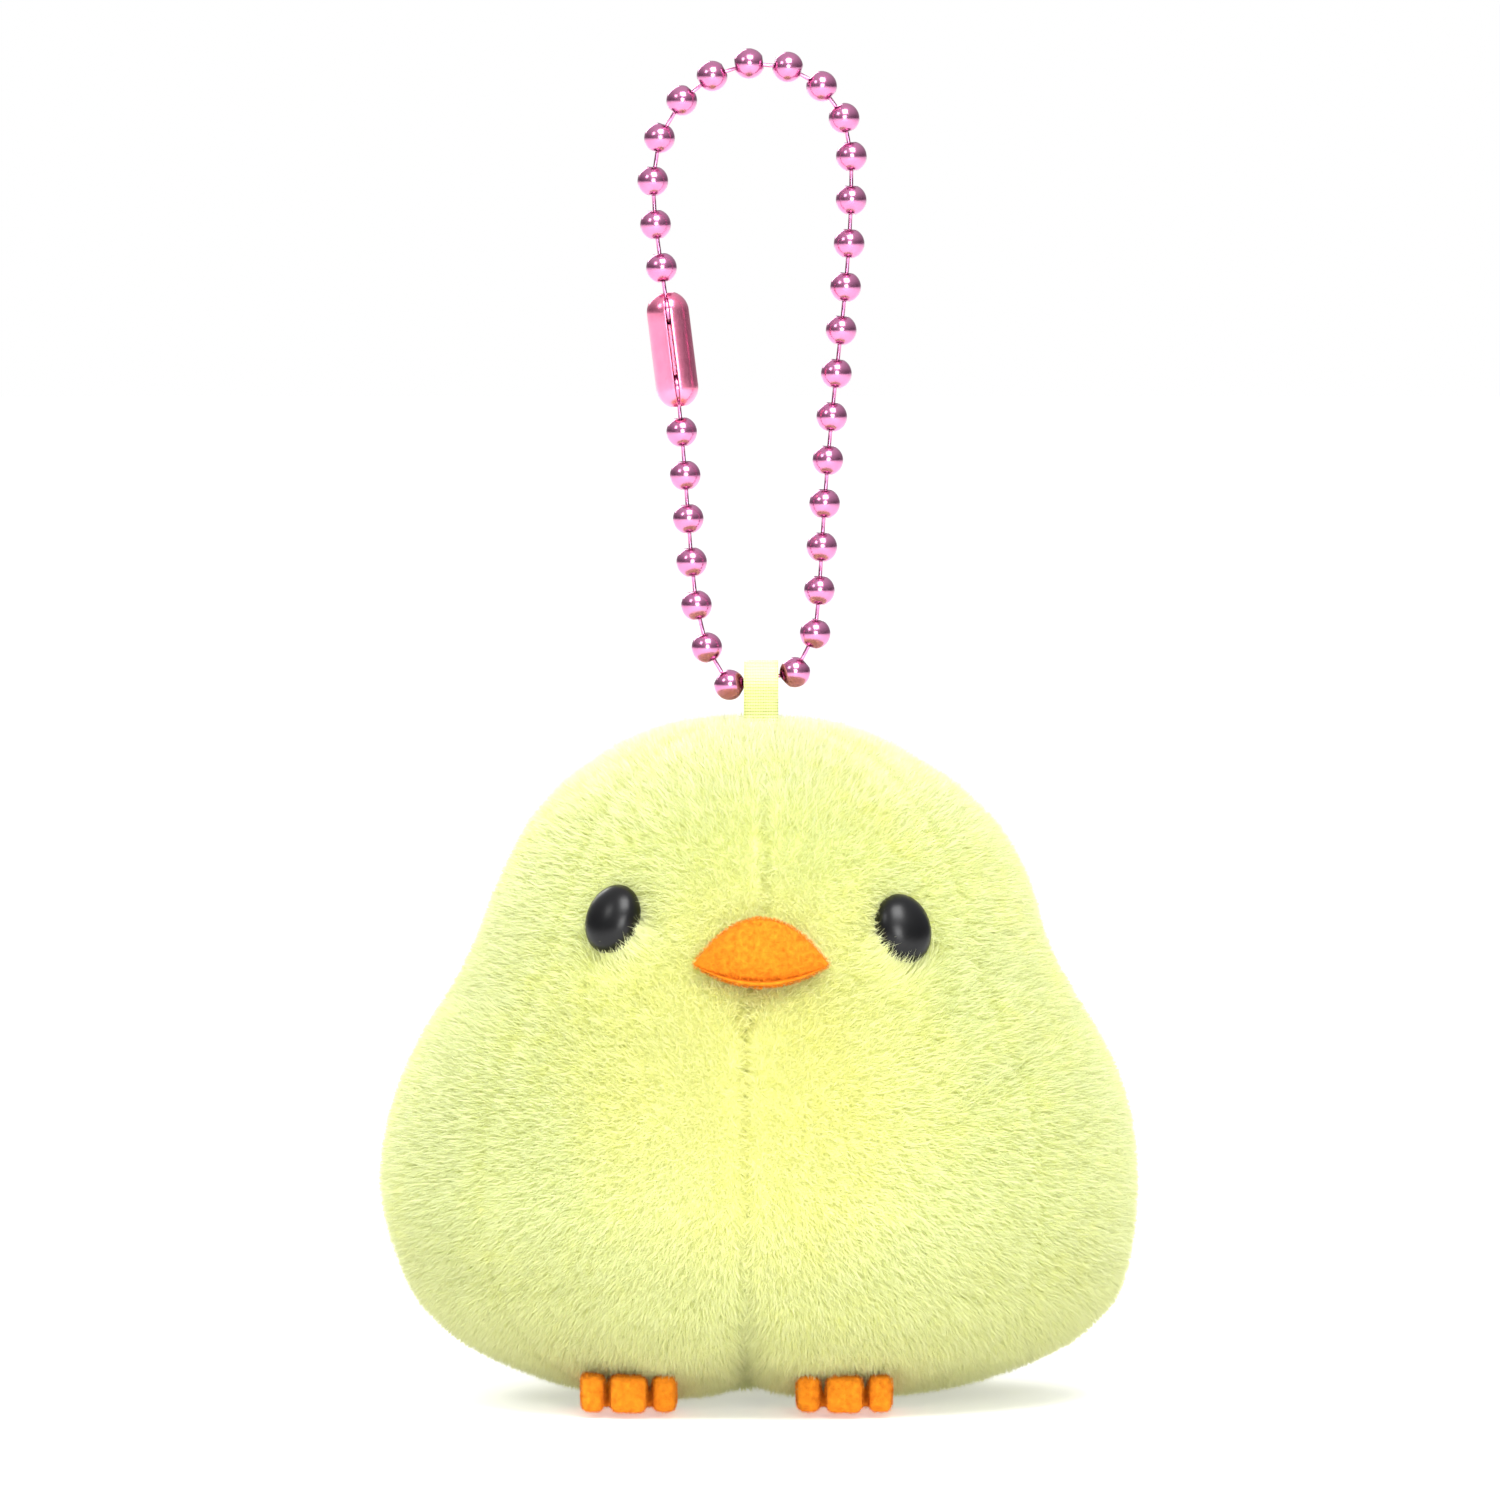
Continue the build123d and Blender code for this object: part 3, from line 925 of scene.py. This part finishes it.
# %% Washers
washer_finish, graph = finish_named("white_washer_plastic")
flow = graph.grain(2 * mm, 2.0)
graph.shader(Base_Color=graph.blend(flow, tint("#dcdcdc"), tint("#f1f1ef")), Roughness=0.35 + flow * 0.15)
for side in ("left", "right"):
    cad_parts[f"eye_washer_{side}"].data.materials[0] = washer_finish

# %% [markdown]
# ## Felt
#
# The beak and the feet are cut from orange craft felt. Felt is a mat of short fibres, so
# its face is uneven and its cut edges are fuzzy. The shapes are cut as flat blanks, given
# thickness and rounded, and planted with a very short, loose fuzz.

# %% Felt finish
felt_finish, graph = finish_named("orange_felt")
mat = graph.grain(0.45 * mm, 4.0)
patch = graph.grain(2.4 * mm, 2.0)
across, along_depth, up = graph.axes(graph.place())
bright = graph.blend((mat * 1.6 - 0.3).held(), tint("#c4640a"), tint("#f89a22"))
felt_shade = graph.blend((patch - 0.45).held(), bright, tint("#e08414"))
graph.shader(Base_Color=felt_shade, Roughness=0.95, Specular_IOR_Level=0.2, Normal=graph.bump(mat, 0.15 * mm))
fuzz_fibre = sliver("fuzz_fibre", felt_finish, width=0.12, curl=0.3)


def fuzz(obj, name, body, slot, seed, density=55.0, height=0.34 * mm):
    """Plant short loose fuzz on a felt piece."""
    normals = normals_of(obj.data)
    count = len(normals)
    ground = bpy.data.objects.new("ground", obj.data.copy())
    nap_attributes(ground.data, normals * 0.8, np.ones(count), np.ones(count))
    loose = {"spread": 0.9, "tuft": 1.2, "tuft_size": 0.5 * mm}
    made = with_pile(name, ground, fuzz_fibre, density=density / mm**2, seed=seed, height=height, **loose)
    bpy.data.objects.remove(ground)
    return belongs(made, body, slot)


# %% Beak
beak_tip_level = 35.1 * mm
beak_half_width = 5.2 * mm
face_radius = 22.6 * mm


def face_depth(across):
    """How far forward the tips of the pile are beside the beak."""
    return -sqrt(face_radius**2 - across**2)


def beak_layer(name, top_rise, bottom_drop, proud, sink=0.8 * mm):
    """A pointed oval of felt between two arcs, crowned in front and sunk into the pile."""
    bm = bmesh.new()
    bmesh.ops.create_grid(bm, x_segments=30, y_segments=10, size=1.0)
    front = bm.faces[:]
    back = bmesh.ops.extrude_face_region(bm, geom=front)["geom"]
    rear = {v for v in back if isinstance(v, bmesh.types.BMVert)}
    for vert in bm.verts:
        u, v = vert.co.x, (vert.co.y + 1) / 2
        u = 0.35 * sin(u * pi / 2) + 0.65 * u
        arch = 1 - u * u
        up = beak_tip_level + (v * top_rise - (1 - v) * bottom_drop) * arch
        across = u * beak_half_width
        crown = 0.35 * mm + proud * arch * (1 - 0.5 * abs(2 * v - 1) ** 2.5)
        depth = face_depth(across) + (sink * arch if vert in rear else -crown)
        vert.co = Vector((across, depth, up))
    bmesh.ops.remove_doubles(bm, verts=bm.verts, dist=1e-5)
    bmesh.ops.recalc_face_normals(bm, faces=bm.faces)
    layer = thing(name, bm, felt_finish)
    rounded = layer.modifiers.new("rounded", "BEVEL")
    rounded.width = 0.2 * mm
    rounded.segments = 2
    rounded.limit_method = "ANGLE"
    divide = layer.modifiers.new("soft", "SUBSURF")
    divide.levels = divide.render_levels = 1
    return settle(layer)


upper = beak_layer("beak_top_felt", top_rise=3.5 * mm, bottom_drop=1.2 * mm, proud=2.3 * mm)
belongs(upper, "plush", "beak_felt", "beak_upper")
under = beak_layer("beak_under_felt", top_rise=-1.1 * mm, bottom_drop=1.6 * mm, proud=1.75 * mm)
belongs(under, "plush", "beak_felt", "beak_lower")
fuzz(upper, "beak_top_fuzz", "plush", "beak_felt", 71)
fuzz(under, "beak_under_fuzz", "plush", "beak_felt", 72)


# %% Feet
foot_lift = 0.5 * mm
middle_toe_width = 2.7 * mm
outer_toe_width = 1.7 * mm
outer_toe_back = 0.7 * mm
toe_pitch = 2.75 * mm
toe_length = 5.4 * mm
toe_share = 0.92
pad_length = 6.0 * mm
pad_place = 8.0 * mm


def foot(name, low, high):
    """A felt foot: three toes in front of a pad, each a block that is rounded over."""
    bm = bmesh.new()
    thickness = high.z - low.z
    centre = (low.x + high.x) / 2
    outer = (outer_toe_width, outer_toe_back)
    toes = ((0.0, middle_toe_width, 0.0), (-toe_pitch, *outer), (toe_pitch, *outer))
    for shift, wide, back in toes:
        block = bmesh.ops.create_cube(bm, size=1.0)["verts"]
        tall = toe_share * thickness
        bmesh.ops.scale(bm, vec=(wide, toe_length, tall), verts=block)
        toe_middle = (centre + shift, low.y + back + toe_length / 2, low.z + tall / 2)
        bmesh.ops.translate(bm, vec=toe_middle, verts=block)
    pad = bmesh.ops.create_cube(bm, size=1.0)["verts"]
    bmesh.ops.scale(bm, vec=(high.x - low.x - 0.2 * mm, pad_length, thickness * 0.98), verts=pad)
    bmesh.ops.translate(bm, vec=(centre, low.y + pad_place, low.z + thickness / 2), verts=pad)
    edge = {"offset": 0.55 * mm, "segments": 4, "profile": 0.5, "clamp_overlap": True}
    bmesh.ops.bevel(bm, geom=bm.edges[:], affect="EDGES", material=-1, **edge)
    bmesh.ops.translate(bm, vec=(0, 0, foot_lift), verts=bm.verts)
    return thing(name, bm, felt_finish)


for number, (side, (low, high)) in enumerate(foot_boxes.items()):
    sole = foot(f"foot_felt_{side}", low, high)
    belongs(sole, "plush", "foot_felt", f"foot_{side}")
    fuzz(sole, f"foot_fuzz_{side}", "plush", "foot_felt", 81 + number, height=0.25 * mm)

# %% [markdown]
# ## Ribbon
#
# A short woven ribbon is folded over the chain's first bead, and its two ends go down into
# the head. The part above the head leans with the loop and the rest stays sewn in, so the
# ribbon is one band that bends between the two bodies at the point where it leaves the pile.

# %% Ribbon finish
ribbon_finish, graph = finish_named("lemon_ribbon")
across, along_depth, up = graph.axes(graph.place())
weft_pitch = 0.24 * mm
warp_pitch = 0.2 * mm
weft = (up * (tau / weft_pitch)).wave()
warp = (across * (tau / warp_pitch)).wave()
weave = weft * 0.7 + warp * 0.3
thread = graph.blend(weave, tint("#d9e08a"), tint("#e8efa8"))
graph.shader(Base_Color=thread, Roughness=0.55, Sheen_Weight=0.3, Normal=graph.bump(weave, 0.05 * mm))


# %% Ribbon band
def band(name, route, width, thickness):
    """A flat strip that follows a route of points in the plane across the toy."""
    bm = bmesh.new()
    line = [bm.verts.new((-width / 2, y, z)) for y, z in route]
    edges = [bm.edges.new(pair) for pair in zip(line, line[1:])]
    made = bmesh.ops.extrude_edge_only(bm, edges=edges)["geom"]
    moved = [v for v in made if isinstance(v, bmesh.types.BMVert)]
    bmesh.ops.translate(bm, vec=(width, 0, 0), verts=moved)
    across = [e for e in bm.edges if abs(e.verts[0].co.x - e.verts[1].co.x) > width / 2]
    bmesh.ops.subdivide_edges(bm, edges=across, cuts=5, use_grid_fill=True)
    bmesh.ops.recalc_face_normals(bm, faces=bm.faces)
    bmesh.ops.solidify(bm, geom=bm.faces[:], thickness=thickness)
    return thing(name, bm, ribbon_finish)


ribbon_thickness = 0.35 * mm
bead_room = 0.2 * mm
ribbon_width = loop_high.x - loop_low.x - bead_room
eye_ring = (loop_high.y - loop_low.y) / 2 - ribbon_thickness / 2
eye_middle = loop_high.z - ribbon_thickness / 2 - eye_ring
tail_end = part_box("ribbon_ends")[0].z
tail_gap = 0.19 * mm
neck_level = 53.6 * mm
over = [(-eye_ring * cos(t), eye_middle + eye_ring * sin(t)) for t in np.linspace(-0.35, pi + 0.35, 25)]
rise_points = [(-tail_gap, level) for level in np.linspace(tail_end, neck_level, 12)]
route = rise_points + over + [(-y, z) for y, z in reversed(rise_points)]
ribbon = band("ribbon_band", route, ribbon_width, ribbon_thickness)
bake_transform(ribbon, "plush", "hang_loop", start=(0, 0, 53.2 * mm), end=(0, 0, 54.6 * mm))
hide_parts("hang_loop", "ribbon_ends")
print("ribbon", len(ribbon.data.polygons), "faces")

# %% [markdown]
# ## Ball chain
#
# Each bead is a hollow ball, rolled from pink anodised sheet, with a mouth on each side
# where a wire goes in. The beads' middles are read from the frame: the outermost points of
# each solid bead all lie on one sphere, so a least-squares fit gives its middle exactly.

# %% Chain finishes
chain_finish, graph = finish_named("pink_anodised")
cast = graph.grain(0.9 * mm, 3.0)
pits = graph.grain(0.18 * mm, 2.0)
metal = graph.blend(cast, tint("#c4749f"), tint("#d58cb4"))
dents = graph.bump(pits, 0.003 * mm)
graph.shader(Base_Color=metal, Metallic=1.0, Roughness=0.14 + pits * 0.12, Normal=dents)

barrel_finish, graph = finish_named("salmon_anodised")
cast = graph.grain(1.1 * mm, 3.0)
pits = graph.grain(0.2 * mm, 2.0)
metal = graph.blend(cast, tint("#ee7a9f"), tint("#fb96b6"))
dents = graph.bump(pits, 0.002 * mm)
graph.shader(Base_Color=metal, Metallic=1.0, Roughness=0.2 + pits * 0.1, Normal=dents)


# %% Bead middles
def bead_middle(number):
    """The middle of a bead, from the points on the outside of its solid."""
    bm = bmesh.new()
    bm.from_mesh(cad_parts[f"bead_{number:02d}"].data)
    bmesh.ops.remove_doubles(bm, verts=bm.verts, dist=1e-7)
    seen, groups = set(), []
    for vert in bm.verts:
        if vert in seen:
            continue
        group, waiting = [], [vert]
        seen.add(vert)
        while waiting:
            here = waiting.pop()
            group.append(here.co[:])
            for edge in here.link_edges:
                there = edge.other_vert(here)
                if there not in seen:
                    seen.add(there)
                    waiting.append(there)
        groups.append(np.array(group))
    points = max(groups, key=lambda group: np.ptp(group, axis=0).min())
    bm.free()
    guess = (points.min(axis=0) + points.max(axis=0)) / 2
    far = np.linalg.norm(points - guess, axis=1)
    outside = points[far > 0.93 * far.max()]
    rows = np.c_[2 * outside, np.ones(len(outside))]
    answer = np.linalg.lstsq(rows, (outside**2).sum(axis=1), rcond=None)[0]
    return Vector(answer[:3])


last_bead = 33
upper_end_bead = 25
middles = {number: bead_middle(number) for number in range(1, last_bead + 1)}
bead_radius = 1.2 * mm
print("first bead", [round(c / mm, 2) for c in middles[1]])
print("highest bead", round(max(middle.z for middle in middles.values()) / mm, 1), "mm")


# %% Beads
def neighbour(number, step):
    """The middle of the next bead along the chain, either way round."""
    return middles[(number - 1 + step) % last_bead + 1]


def parent_of(number):
    if number == last_bead:
        return 1
    return number - 1 if number <= upper_end_bead else number + 1


mouth = 0.48 * mm
wire = 0.17 * mm
bead_turns = np.linspace(np.arcsin(mouth / bead_radius), pi - np.arcsin(mouth / bead_radius), 17)
bead_profile = [(bead_radius * sin(t), bead_radius * cos(t)) for t in bead_turns]
bead_profile = [(mouth, 0.86 * bead_radius)] + bead_profile + [(mouth, -0.86 * bead_radius)]

for number in range(1, last_bead + 1):
    middle = middles[number]
    bm = bmesh.new()
    lathe(bm, bead_profile, 28)
    bmesh.ops.remove_doubles(bm, verts=bm.verts, dist=1e-7)
    bmesh.ops.recalc_face_normals(bm, faces=bm.faces)
    along = (neighbour(number, 1) - neighbour(number, -1)).normalized()
    turn = Vector((0, 0, 1)).rotation_difference(along).to_matrix().to_4x4()
    bmesh.ops.transform(bm, matrix=Matrix.Translation(middle) @ turn, verts=bm.verts)
    if number > 1:
        parent = middles[parent_of(number)]
        reach = (parent - middle).length - 1.4 * bead_radius
        link = bmesh.new()
        head, shank = wire * 1.25, wire * 0.9
        ends = [(head, -reach / 2), (shank, -0.3 * reach), (shank, 0.3 * reach), (head, reach / 2)]
        lathe(link, ends, 14)
        bmesh.ops.holes_fill(link, edges=link.edges, sides=0)
        bmesh.ops.recalc_face_normals(link, faces=link.faces)
        turn = Vector((0, 0, 1)).rotation_difference((parent - middle).normalized()).to_matrix().to_4x4()
        bmesh.ops.transform(link, matrix=Matrix.Translation((parent + middle) / 2) @ turn, verts=link.verts)
        joined = bpy.data.meshes.new("link")
        link.to_mesh(joined)
        link.free()
        bm.from_mesh(joined)
        bpy.data.meshes.remove(joined)
    bead = thing(f"ball_{number:02d}", bm, chain_finish)
    node = f"bead_{number:02d}"
    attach(bead, node)
    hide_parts(node)
print("chain of", last_bead, "beads")

# %% [markdown]
# ## Connector
#
# The connector is a strip rolled to a barrel, with its edges nearly meeting along a slit.
# A profile is turned almost all the way round, which leaves the slit, and the sheet gets
# its thickness afterwards.

# %% Connector
upper_end, lower_end = middles[upper_end_bead], middles[upper_end_bead + 1]
barrel_axis = (upper_end - lower_end).normalized()
barrel_middle = (upper_end + lower_end) / 2
barrel_radius = 1.65 * mm
barrel_length = 9.2 * mm
straight = barrel_length / 2 - barrel_radius
cap = [(barrel_radius * cos(t), straight + barrel_radius * sin(t)) for t in np.linspace(0, radians(66), 9)]
side_line = [(barrel_radius, level) for level in np.linspace(straight, -straight, 9)[1:-1]]
barrel_profile = list(reversed(cap)) + side_line + [(wide, -up) for wide, up in cap]
slit = 0.34 * mm
open_angle = slit / barrel_radius
bm = bmesh.new()
lathe(bm, barrel_profile, 40, angle=tau - open_angle, merge=False)
bmesh.ops.rotate(bm, cent=(0, 0, 0), matrix=Matrix.Rotation(open_angle / 2 - pi / 2, 3, "Z"), verts=bm.verts)
bmesh.ops.recalc_face_normals(bm, faces=bm.faces)
outwards = sum(face.normal.xy.dot(face.calc_center_median().xy) for face in bm.faces)
if outwards < 0:
    bmesh.ops.reverse_faces(bm, faces=bm.faces)
barrel_way = Vector((0, 0, 1)).rotation_difference(barrel_axis).to_matrix().to_4x4()
bmesh.ops.transform(bm, matrix=Matrix.Translation(barrel_middle) @ barrel_way, verts=bm.verts)
barrel = thing("barrel", bm, barrel_finish)
wall = barrel.modifiers.new("sheet", "SOLIDIFY")
wall.thickness = 0.25 * mm
wall.offset = -1
rounded = barrel.modifiers.new("rolled_edge", "BEVEL")
rounded.width = 0.06 * mm
rounded.segments = 3
rounded.limit_method = "ANGLE"
settle(barrel)
belongs(barrel, "connector", "connector_metal", "connector")

# %% [markdown]
# ## Clearing up
#
# The fibres that were planted and the body that was cut up are helpers, and they go.

# %% Helpers go
for helper in (core, fibre, fuzz_fibre):
    bpy.data.objects.remove(helper)
